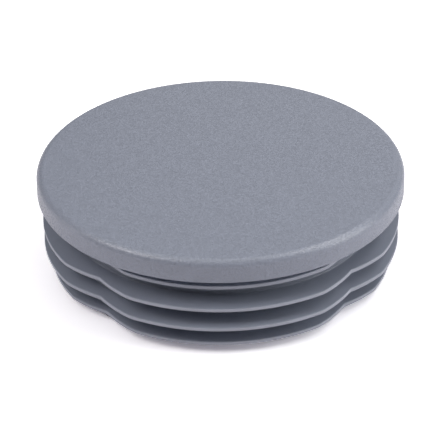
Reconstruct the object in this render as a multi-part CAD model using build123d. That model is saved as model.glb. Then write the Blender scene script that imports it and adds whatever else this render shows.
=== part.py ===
from build123d import *
from math import radians, tan
import os

# Tube end cap for a round tube of 100 mm outside diameter, moulded in one piece.
# A flat grained head covers the end of the tube. Under it a hollow stem carries
# four thin fins, which bend as they are pushed into the bore and hold the cap.
# Millimetres, +Z up the axis. The origin is the centre of the stem's lower rim,
# on which the cap stands when it is not fitted.

# Head
head_diameter = 100.0
head_thickness = 6.3
head_plate = 3.0            # thickness of the head over the hollow
head_draft = 1.0            # degrees that the side leans in towards the top
head_top_round = 2.2
head_lower_bevel = 0.3

# Stem
stem_depth = 23.7           # from the underside of the head to the lower rim
stem_diameter = 85.2        # at the head
stem_draft = 0.3            # degrees that the outside leans in towards the rim
stem_wall = 2.0             # at the lower rim
stem_lead_in = 0.3          # bevel round the outside of the lower rim
hollow_draft = 1.0          # degrees that the hollow widens towards the rim

# Fins, from the head down: depth of the rim's upper edge under the head, radius, and
# how much less than that the radius of a lobe's own arc is
guide_fin = (3.45, 46.0, 10.2)
grip_fins = ((8.4, 48.9, 10.8), (14.3, 48.9, 10.8))
lead_fin = (20.0, 47.0, 10.8)
fin_thickness = 1.15        # at the rim
fin_draft = 1.5             # degrees that each face thickens towards the stem

# Outline of a fin: a circle cut back to four lobes, which meet in shallow notches
lobe_count = 4
lobe_offset = 13.3          # from the axis to the centre of a lobe's arc
notch_round = 0.6
lobe_blend = 12.0           # where a lobe's arc runs into the circle

# Stub of plastic left by the gate, in the middle of the hollow's ceiling
gate_diameter = 3.0
gate_height = 0.6
gate_taper = 10.0           # degrees

# Sizes that follow from these
head_underside = stem_depth
head_top = stem_depth + head_thickness
ceiling = head_top - head_plate
head_radius = head_diameter / 2
stem_radius = stem_diameter / 2
stem_rim_radius = stem_radius - stem_depth * tan(radians(stem_draft))
hollow_rim_radius = stem_rim_radius - stem_wall
hollow_top_radius = hollow_rim_radius - ceiling * tan(radians(hollow_draft))


def half_section(*points):
    """Face of a section to one side of the axis, from its (radius, height) corners."""
    return make_face(Polyline(*points, close=True))


def corner(section, point):
    """Vertex of the section that lies nearest to the point."""
    return section.vertices().sort_by_distance(point)[0]


def spin(section):
    """Solid of revolution of the section about Z."""
    return revolve(Plane.XZ * section, Axis.Z)


def head():
    """Flat disc with a leaning side, a rounded upper edge and a bevelled lower one."""
    top_radius = head_radius - head_thickness * tan(radians(head_draft))
    lower_edge = (head_radius, head_underside)
    upper_edge = (top_radius, head_top)
    section = half_section((0, head_underside), lower_edge, upper_edge, (0, head_top))
    section = fillet(corner(section, upper_edge), head_top_round)
    section = chamfer(corner(section, lower_edge), head_lower_bevel)
    return spin(section)


def stem():
    """Round wall below the head, still solid, bevelled at its lower rim."""
    rim_edge = (stem_rim_radius, 0)
    section = half_section((0, 0), rim_edge, (stem_radius, head_underside), (0, head_underside))
    section = chamfer(corner(section, rim_edge), stem_lead_in)
    return spin(section)


def hollow():
    """Space inside the stem, which runs up into the head to leave an even plate."""
    rim = (hollow_rim_radius, 0)
    top = (hollow_top_radius, ceiling)
    return spin(half_section((0, 0), rim, top, (0, ceiling)))


def fin_outline(radius, lobe_inset):
    """Circle of the fin, less what lies outside its four lobes."""
    lobe = Circle(radius - lobe_inset)
    lobes = Sketch() + [place * lobe for place in PolarLocations(lobe_offset, lobe_count)]
    outline = Circle(radius) & lobes
    notches = outline.vertices().group_by(lambda v: round(Vector(v).length, 3))[0]
    outline = fillet(notches, notch_round)
    blends = outline.vertices().group_by(lambda v: round(Vector(v).length, 3))[-1]
    return fillet(blends, lobe_blend)


def fin(depth, radius, lobe_inset):
    """Thin disc that tapers to its rim, cut to the lobed outline."""
    top = head_underside - depth
    bottom = top - fin_thickness
    swell = radius * tan(radians(fin_draft))
    low_middle = (0, bottom - swell)
    high_middle = (0, top + swell)
    disc = spin(half_section(low_middle, (radius, bottom), (radius, top), high_middle))
    outline = Pos(0, 0, bottom - swell) * fin_outline(radius, lobe_inset)
    return disc & extrude(outline, fin_thickness + 2 * swell)


def gate_mark():
    """Short stub that hangs from the ceiling of the hollow."""
    foot = gate_diameter / 2
    tip = foot - gate_height * tan(radians(gate_taper))
    bottom = ceiling - gate_height
    return spin(half_section((0, bottom), (tip, bottom), (foot, ceiling), (0, ceiling)))


def end_cap():
    """The whole cap."""
    cap = head() + stem()
    for depth, radius, lobe_inset in (guide_fin, *grip_fins, lead_fin):
        cap += fin(depth, radius, lobe_inset)
    cap -= hollow()
    return cap + gate_mark()


os.makedirs("parts", exist_ok=True)
cap = end_cap()
cap.label = "end_cap"
export_step(cap, "parts/end_cap.step")
print("end_cap", [round(size, 2) for size in cap.bounding_box().size], "mm")
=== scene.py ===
from math import cos, pi, radians, sin, tan

import bpy
import numpy as np
from mathutils import Matrix, Vector


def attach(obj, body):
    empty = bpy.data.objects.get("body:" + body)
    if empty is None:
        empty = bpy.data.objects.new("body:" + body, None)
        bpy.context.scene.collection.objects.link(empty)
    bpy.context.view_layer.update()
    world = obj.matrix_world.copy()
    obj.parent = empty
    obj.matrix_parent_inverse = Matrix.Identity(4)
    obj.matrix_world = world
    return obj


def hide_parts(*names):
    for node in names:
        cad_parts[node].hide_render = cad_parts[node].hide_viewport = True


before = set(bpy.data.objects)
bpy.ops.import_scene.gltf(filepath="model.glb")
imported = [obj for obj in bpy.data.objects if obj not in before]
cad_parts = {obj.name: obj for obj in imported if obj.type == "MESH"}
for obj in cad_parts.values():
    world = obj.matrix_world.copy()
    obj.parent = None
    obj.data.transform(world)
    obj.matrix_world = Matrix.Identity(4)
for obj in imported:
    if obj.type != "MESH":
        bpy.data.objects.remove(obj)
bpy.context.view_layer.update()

scene = bpy.context.scene
mm = 0.001

# The cap stands on the rim of its stem, head up. Its four lobes lie along X and Y
# and its notches between them, as in the frame.

head = {
    "radius": 50.0 * mm,
    "underside": 23.7 * mm,        # the seat, above the stem's rim
    "top": 30.0 * mm,
    "lean": radians(1.0),          # side leans in towards the top
    "topRound": 2.2 * mm,
    "lowerRound": 0.3 * mm,
}

stem = {
    "radius": 42.6 * mm,           # at the head
    "lean": radians(0.3),
    "rootRound": 0.5 * mm,         # up into the head
    "rimRound": 0.3 * mm,
    "wall": 2.0 * mm,              # at the rim
}

hollow = {
    "ceiling": 27.0 * mm,
    "lean": radians(1.0),
    "rimRound": 0.3 * mm,
    "ceilingRound": 1.0 * mm,
}

fin = {
    "thickness": 1.15 * mm,        # at the rim
    "lean": radians(1.5),          # each face thickens towards the stem
    "rimRound": 0.2 * mm,
    "rootRound": 0.3 * mm,
    "lobeOffset": 13.3 * mm,       # axis to the centre of a lobe's arc
    "notchSoft": 0.08 * mm,
    "blendSoft": 0.17 * mm,        # where a lobe runs into the circle
}

# depth of the rim's upper edge below the seat, radius, and how much less a lobe's own is
finRows = [
    (3.45 * mm, 46.0 * mm, 10.2 * mm),     # guide
    (8.4 * mm, 48.9 * mm, 10.8 * mm),     # grip
    (14.3 * mm, 48.9 * mm, 10.8 * mm),    # grip
    (20.0 * mm, 47.0 * mm, 10.8 * mm),    # lead-in
]

gate = {"radius": 1.5 * mm, "height": 0.6 * mm, "lean": radians(10), "round": 0.15 * mm}

# the third finish, on the fins' rims, is painted lighter as a highlight along each rim
grained, satin, rimPaintedHighlight = 0, 1, 2   # finishes, by material slot

spokes = 720
turn = np.arange(spokes) * 2 * pi / spokes


def bulge(a, b, soft):
    # what a soft corner between two outlines takes off
    near = np.maximum(soft - np.abs(a - b), 0) / soft
    return near * near * soft / 4


def finEdge(radius, inset):
    # circle of the fin, cut back to four lobes
    lobe = radius - inset
    offset = fin["lobeOffset"]
    swing = (turn + pi / 4) % (pi / 2) - pi / 4

    def reach(angle):
        return offset * np.cos(angle) + np.sqrt(lobe ** 2 - (offset * np.sin(angle)) ** 2)

    own = reach(swing)
    nextLobe = reach(pi / 2 - np.abs(swing))
    lobes = np.maximum(own, nextLobe) + bulge(own, nextLobe, fin["notchSoft"])
    circle = np.full(spokes, radius)
    return np.minimum(lobes, circle) - bulge(lobes, circle, fin["blendSoft"])


def corner(radius, height, roundness=0.0, steps=4, finish=satin, onward=None):
    # onward is the finish of the stretch from this corner to the next
    point = np.stack([np.broadcast_to(radius, spokes), np.broadcast_to(height, spokes)], 1)
    return {
        "point": point.astype(float),
        "round": roundness,
        "steps": steps,
        "finish": finish,
        "onward": finish if onward is None else onward,
    }


def stemRadiusAt(height):
    return stem["radius"] - (head["underside"] - height) * tan(stem["lean"])


def finCorners(depth, radius, inset):
    top = head["underside"] - depth
    bottom = top - fin["thickness"]
    slope = tan(fin["lean"])
    edge = finEdge(radius, inset)
    edgeTop = top + (radius - edge) * slope
    edgeBottom = bottom - (radius - edge) * slope
    rootTop = top + (radius - stemRadiusAt(top)) * slope
    rootBottom = bottom - (radius - stemRadiusAt(bottom)) * slope
    return [
        corner(stemRadiusAt(rootTop), rootTop, fin["rootRound"], 3),
        # each rim, between its two rounded edges, takes the rim finish: a highlight painted along the
        # rim in a lighter colour
        corner(edge, edgeTop, fin["rimRound"], 3, satin, rimPaintedHighlight),
        corner(edge, edgeBottom, fin["rimRound"], 3, rimPaintedHighlight, satin),
        corner(stemRadiusAt(rootBottom), rootBottom, fin["rootRound"], 3),
    ]


def capCorners():
    headHeight = head["top"] - head["underside"]
    rimRadius = stemRadiusAt(0)
    hollowRim = rimRadius - stem["wall"]
    hollowTop = hollowRim - hollow["ceiling"] * tan(hollow["lean"])
    gateTip = gate["radius"] - gate["height"] * tan(gate["lean"])
    gateEnd = hollow["ceiling"] - gate["height"]
    topRadius = head["radius"] - headHeight * tan(head["lean"])
    corners = [
        corner(0, head["top"], finish=grained),
        corner(topRadius, head["top"], head["topRound"], 10, grained),
        corner(head["radius"], head["underside"], head["lowerRound"], 4, grained, satin),
        corner(stem["radius"], head["underside"], stem["rootRound"], 4),
    ]
    for depth, radius, inset in finRows:
        corners += finCorners(depth, radius, inset)
    corners += [
        corner(rimRadius, 0, stem["rimRound"], 4),
        corner(hollowRim, 0, hollow["rimRound"], 3),
        corner(hollowTop, hollow["ceiling"], hollow["ceilingRound"], 5),
        corner(gate["radius"], hollow["ceiling"], gate["round"], 3),
        corner(gateTip, gateEnd, gate["round"], 3),
        corner(0, gateEnd),
    ]
    return corners


def unit(vectors):
    return vectors / np.linalg.norm(vectors, axis=1)[:, None]


def roundedCorner(before, here, after):
    # the rings that carry a rounded corner from one straight stretch to the next
    point = here["point"]
    back = unit(before["point"] - point)
    onward = unit(after["point"] - point)
    half = np.arccos(np.clip((back * onward).sum(1), -1, 1)) / 2
    centre = point + unit(back + onward) * (here["round"] / np.sin(half))[:, None]
    reach = (here["round"] / np.tan(half))[:, None]
    start = point + back * reach - centre
    end = point + onward * reach - centre
    sweep = pi - 2 * half
    rings = []
    for step in range(here["steps"] + 1):
        share = step / here["steps"]
        fromStart = (np.sin((1 - share) * sweep) / np.sin(sweep))[:, None]
        fromEnd = (np.sin(share * sweep) / np.sin(sweep))[:, None]
        rings.append(centre + start * fromStart + end * fromEnd)
    return rings


def moulding():
    corners = capCorners()
    rings = []
    finishes = [corners[0]["onward"]]          # of the faces before each ring, and after the last
    for before, here, after in zip(corners, corners[1:], corners[2:]):
        rings += roundedCorner(before, here, after)
        finishes += [here["finish"]] * here["steps"] + [here["onward"]]
    verts = []
    for ring in rings:
        flat = ring[:, 0]
        verts += zip(flat * np.cos(turn), flat * np.sin(turn), ring[:, 1])
    topMiddle = len(verts)
    verts.append((0, 0, head["top"]))
    verts.append((0, 0, corners[-1]["point"][0][1]))
    faces = []
    for spoke in range(spokes):
        faces.append((topMiddle, spoke, (spoke + 1) % spokes))
    for row in range(len(rings) - 1):
        a = row * spokes
        b = a + spokes
        for spoke in range(spokes):
            following = (spoke + 1) % spokes
            faces.append((a + spoke, b + spoke, b + following, a + following))
    last = (len(rings) - 1) * spokes
    for spoke in range(spokes):
        faces.append((last + spoke, topMiddle + 1, last + (spoke + 1) % spokes))
    mesh = bpy.data.meshes.new("end_cap_moulding")
    mesh.from_pydata(verts, [], faces)
    mesh.shade_smooth()
    mesh.polygons.foreach_set("material_index", np.repeat(finishes, spokes))
    cap = bpy.data.objects.new("end_cap_moulding", mesh)
    scene.collection.objects.link(cap)
    print("moulding:", len(rings), "rings,", len(faces), "faces")
    return cap


plastic = {
    "colour": (0.258, 0.278, 0.336),
    "grainSize": 0.56 * mm,
    "grainDepth": 0.12 * mm,
    "grainStrength": 0.9,
    # the grain's hollows are painted darker than its peaks, as shade in them
    "grainPaintedShade": 0.23,            # how much darker the grain's hollows are than its peaks
    "grainSpread": (0.36, 0.64),   # noise values of a full hollow and a full peak
    "headRoughness": (0.21, 0.35), # peaks, hollows
    # the smooth faces' colour is a little darker than the head's: painted shade, which deepens the gaps
    # between the fins
    "satinPaintedShadeColour": (0.244, 0.267, 0.324),
    "satinRoughness": (0.36, 0.46),
    # the rims' colour is a painted highlight, lighter than the fin faces; their roughness is the rims'
    # own glossier finish
    "rimPaintedHighlightColour": (0.358, 0.378, 0.440),
    "rimRoughness": (0.30, 0.38),
    "flowSize": 6 * mm,            # faint marks where the plastic flowed
    "flowDetail": 4.0,
    "flowShade": 0.06,
    "flowSpread": (0.3, 0.7),
    "skinSize": 0.3 * mm,          # fine unevenness of the smooth faces
    "skinDepth": 0.01 * mm,
    "skinStrength": 0.4,
}


def newMaterial(name):
    material = bpy.data.materials.new(name)
    material.use_nodes = True
    return material, material.node_tree.nodes, material.node_tree.links


def addNoise(nodes, links, place, size, detail=2.0):
    noise = nodes.new("ShaderNodeTexNoise")
    noise.inputs["Scale"].default_value = 1 / size
    noise.inputs["Detail"].default_value = detail
    links.new(place, noise.inputs["Vector"])
    return noise.outputs["Fac"]


def addRange(nodes, links, source, low, high, start, end):
    spread = nodes.new("ShaderNodeMapRange")
    spread.inputs["From Min"].default_value = low
    spread.inputs["From Max"].default_value = high
    spread.inputs["To Min"].default_value = start
    spread.inputs["To Max"].default_value = end
    links.new(source, spread.inputs["Value"])
    return spread.outputs["Result"]


def addRamp(nodes, links, source, low, high, darkest, lightest):
    ramp = nodes.new("ShaderNodeValToRGB")
    ramp.color_ramp.elements[0].position = low
    ramp.color_ramp.elements[0].color = (*darkest, 1)
    ramp.color_ramp.elements[1].position = high
    ramp.color_ramp.elements[1].color = (*lightest, 1)
    links.new(source, ramp.inputs["Fac"])
    return ramp.outputs["Color"]


def shade(colour, factor):
    return tuple(channel * factor for channel in colour)


def addShades(nodes, links, source, spread, colour, difference):
    # the colour, from half the difference darker to half of it lighter
    darkest = shade(colour, 1 - difference / 2)
    lightest = shade(colour, 1 + difference / 2)
    return addRamp(nodes, links, source, *spread, darkest, lightest)


def addBump(nodes, links, source, depth, strength):
    bump = nodes.new("ShaderNodeBump")
    bump.inputs["Distance"].default_value = depth
    bump.inputs["Strength"].default_value = strength
    links.new(source, bump.inputs["Height"])
    return bump.outputs["Normal"]


def grainedPlastic():
    material, nodes, links = newMaterial("grained_grey_plastic")
    shader = nodes["Principled BSDF"]
    place = nodes.new("ShaderNodeTexCoord").outputs["Object"]
    grain = addNoise(nodes, links, place, plastic["grainSize"])
    spread = plastic["grainSpread"]
    # painted shade: the grain's hollows darker than its peaks
    colour = addShades(nodes, links, grain, spread, plastic["colour"], plastic["grainPaintedShade"])
    links.new(colour, shader.inputs["Base Color"])
    peaks, hollows = plastic["headRoughness"]
    roughness = addRange(nodes, links, grain, *spread, hollows, peaks)
    links.new(roughness, shader.inputs["Roughness"])
    normal = addBump(nodes, links, grain, plastic["grainDepth"], plastic["grainStrength"])
    links.new(normal, shader.inputs["Normal"])
    return material


def smoothPlastic(name, tone, sheen):
    material, nodes, links = newMaterial(name)
    shader = nodes["Principled BSDF"]
    place = nodes.new("ShaderNodeTexCoord").outputs["Object"]
    flow = addNoise(nodes, links, place, plastic["flowSize"], plastic["flowDetail"])
    spread = plastic["flowSpread"]
    colour = addShades(nodes, links, flow, spread, tone, plastic["flowShade"])
    links.new(colour, shader.inputs["Base Color"])
    smoothest, dullest = sheen
    roughness = addRange(nodes, links, flow, *spread, dullest, smoothest)
    links.new(roughness, shader.inputs["Roughness"])
    skin = addNoise(nodes, links, place, plastic["skinSize"])
    normal = addBump(nodes, links, skin, plastic["skinDepth"], plastic["skinStrength"])
    links.new(normal, shader.inputs["Normal"])
    return material


cap = moulding()
finishMaterials = [
    grainedPlastic(),
    # the smooth faces take the darker colour, painted shade for the gaps between the fins
    smoothPlastic("satin_grey_plastic_painted_shade", plastic["satinPaintedShadeColour"], plastic["satinRoughness"]),
    # the rims' material, with the painted highlight colour
    smoothPlastic("rim_painted_highlight_plastic", plastic["rimPaintedHighlightColour"], plastic["rimRoughness"]),
]
for material in finishMaterials:
    cap.data.materials.append(material)
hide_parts("end_cap")
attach(cap, "root")
print("plastic:", len(finishMaterials), "finishes")

table = {
    "size": 3.0,
    "paper": (0.92, 0.895, 0.93),
    "roughness": 0.9,
    "specular": 0.2,
    "exposed": (1.50, 1.50, 1.50), # as the camera sees the lit paper, burnt out to white
    "veil": (0.158, 0.146, 0.163), # least light in its shadows, a little purple
}


def whiteTable():
    half = table["size"] / 2
    mesh = bpy.data.meshes.new("table")
    outline = [(-half, -half, 0), (half, -half, 0), (half, half, 0), (-half, half, 0)]
    mesh.from_pydata(outline, [], [(0, 1, 2, 3)])
    top = bpy.data.objects.new("table", mesh)
    scene.collection.objects.link(top)
    paper, nodes, links = newMaterial("white_paper")
    lit = nodes["Principled BSDF"]
    lit.inputs["Base Color"].default_value = (*table["paper"], 1)
    lit.inputs["Roughness"].default_value = table["roughness"]
    lit.inputs["Specular IOR Level"].default_value = table["specular"]
    seen = nodes.new("ShaderNodeBsdfDiffuse")
    seen.inputs["Color"].default_value = (*table["exposed"], 1)
    veil = nodes.new("ShaderNodeEmission")
    veil.inputs["Color"].default_value = (*table["veil"], 1)
    veiled = nodes.new("ShaderNodeAddShader")
    links.new(seen.outputs["BSDF"], veiled.inputs[0])
    links.new(veil.outputs["Emission"], veiled.inputs[1])
    either = nodes.new("ShaderNodeMixShader")
    links.new(nodes.new("ShaderNodeLightPath").outputs["Is Camera Ray"], either.inputs["Fac"])
    links.new(lit.outputs["BSDF"], either.inputs[1])
    links.new(veiled.outputs["Shader"], either.inputs[2])
    links.new(either.outputs["Shader"], nodes["Material Output"].inputs["Surface"])
    mesh.materials.append(paper)


whiteTable()
print("table: white paper", table["size"], "m across")

view = {
    "place": (-12.85 * mm, -412.79 * mm, 266.11 * mm),
    "aim": (-0.28 * mm, 0.0 * mm, 11.48 * mm),
    "tilt": radians(-0.72),        # leans a little to one side
    "lens": 143.23,
    "sensor": 36,
    "nearest": 0.01,
}
cameraData = bpy.data.cameras.new("camera")
cameraData.lens = view["lens"]
cameraData.sensor_width = view["sensor"]
cameraData.clip_start = view["nearest"]
camera = bpy.data.objects.new("camera", cameraData)
scene.collection.objects.link(camera)
looking = Vector(view["aim"]) - Vector(view["place"])
turned = looking.to_track_quat("-Z", "Y").to_matrix().to_4x4() @ Matrix.Rotation(view["tilt"], 4, "Z")
camera.matrix_world = Matrix.Translation(view["place"]) @ turned
scene.camera = camera
print("camera: lens", view["lens"], "mm")

lamps = {
    "right_softbox": {
        "azimuth": 78, "elevation": 25, "distance": 1.5,
        "width": 0.8, "height": 1.15, "strength": 4.2,
        "tint": (1, 1, 1),
    },
    "right_high": {
        "azimuth": 96, "elevation": 57, "distance": 1.5,
        "width": 0.95, "height": 0.26, "strength": 6.6,
        "tint": (1.02, 1, 1),
    },
    "left_high": {
        "azimuth": -69, "elevation": 47, "distance": 1.5,
        "width": 0.75, "height": 0.66, "strength": 5.45,
        "tint": (1.04, 1, 1),
    },
    "left_softbox": {
        "azimuth": -97, "elevation": 14, "distance": 1.5,
        "width": 0.55, "height": 0.55, "strength": 1.7,
        "tint": (1.01, 1, 1),
    },
    "overhead": {
        "azimuth": 0, "elevation": 90, "distance": 1.5,
        "width": 2.18, "height": 1.57, "strength": 1.13,
        "tint": (0.985, 1, 1.005),
    },
    "back": {
        "azimuth": 155, "elevation": 22, "distance": 1.5,
        "width": 1.7, "height": 0.7, "strength": 0.42,
        "tint": (1, 1, 1),
    },
}
for name, lamp in lamps.items():
    data = bpy.data.lights.new(name, "AREA")
    data.shape = "RECTANGLE"
    data.size = lamp["width"]
    data.size_y = lamp["height"]
    data.energy = lamp["strength"] * pi * lamp["width"] * lamp["height"]   # radiance to watts
    data.color = lamp["tint"]
    obj = bpy.data.objects.new(name, data)
    scene.collection.objects.link(obj)
    azimuth = radians(lamp["azimuth"])         # from the front, towards the right
    elevation = radians(lamp["elevation"])
    sideways = sin(azimuth) * cos(elevation)
    forwards = -cos(azimuth) * cos(elevation)
    place = Vector((sideways, forwards, sin(elevation))) * lamp["distance"]
    obj.matrix_world = Matrix.Translation(place) @ (-place).to_track_quat("-Z", "Y").to_matrix().to_4x4()
    obj.visible_camera = False
print("lamps:", len(lamps))

world = bpy.data.worlds.new("studio")
scene.world = world
world.use_nodes = True
nodes = world.node_tree.nodes
links = world.node_tree.links
path = nodes.new("ShaderNodeLightPath")
links.new(path.outputs["Is Camera Ray"], nodes["Background"].inputs["Strength"])
nodes["Background"].inputs["Color"].default_value = (1, 1, 1, 1)

scene.view_settings.view_transform = "Standard"
